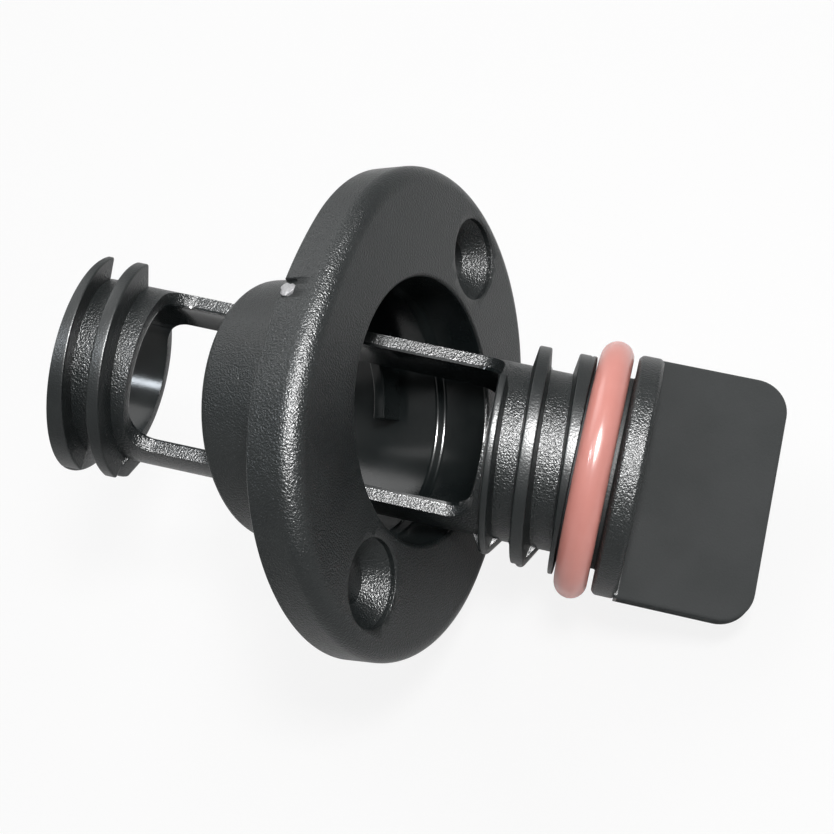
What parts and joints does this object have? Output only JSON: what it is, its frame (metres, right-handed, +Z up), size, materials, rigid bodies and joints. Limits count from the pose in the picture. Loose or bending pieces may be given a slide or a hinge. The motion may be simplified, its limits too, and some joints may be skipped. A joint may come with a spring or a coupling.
{
  "type": "captive drain plug",
  "caption": "Screw-in boat drain plug hanging by its open cage from an oval flanged housing, with an O-ring seal and a flat handle.",
  "frame": {"origin": "on the bore's axis at the flange's rear face, which lies against the hull", "axes": "+X out of the hull along the bore, +Y along the line of the two screws, +Z up; the loose plug droops towards -Z"},
  "size_m": [0.0743, 0.0536, 0.048],
  "materials": {
    "black_plastic": "fine eroded texture, bore and seal faces smoother",
    "salmon_rubber": "smooth, slightly glossy"
  },
  "bodies": {
    "housing": {"housing": "black_plastic"},
    "seal": {"o_ring": "salmon_rubber"},
    "plug": {"plug": "black_plastic"}
  },
  "joints": [
    {"name": "plug_tilt", "type": "hinge", "parent": "housing", "child": "seal", "pos_m": [-0.00782, -0.00017, 0], "axis": [0, -0.9989, -0.0474], "range_deg": [0, 40]},
    {"name": "plug_turn", "type": "hinge", "parent": "seal", "child": "plug", "pos_m": [-0.00782, -0.00017, 0], "axis": [0.9148, 0.0192, -0.4035], "range_deg": [-20, 0]}
  ]
}
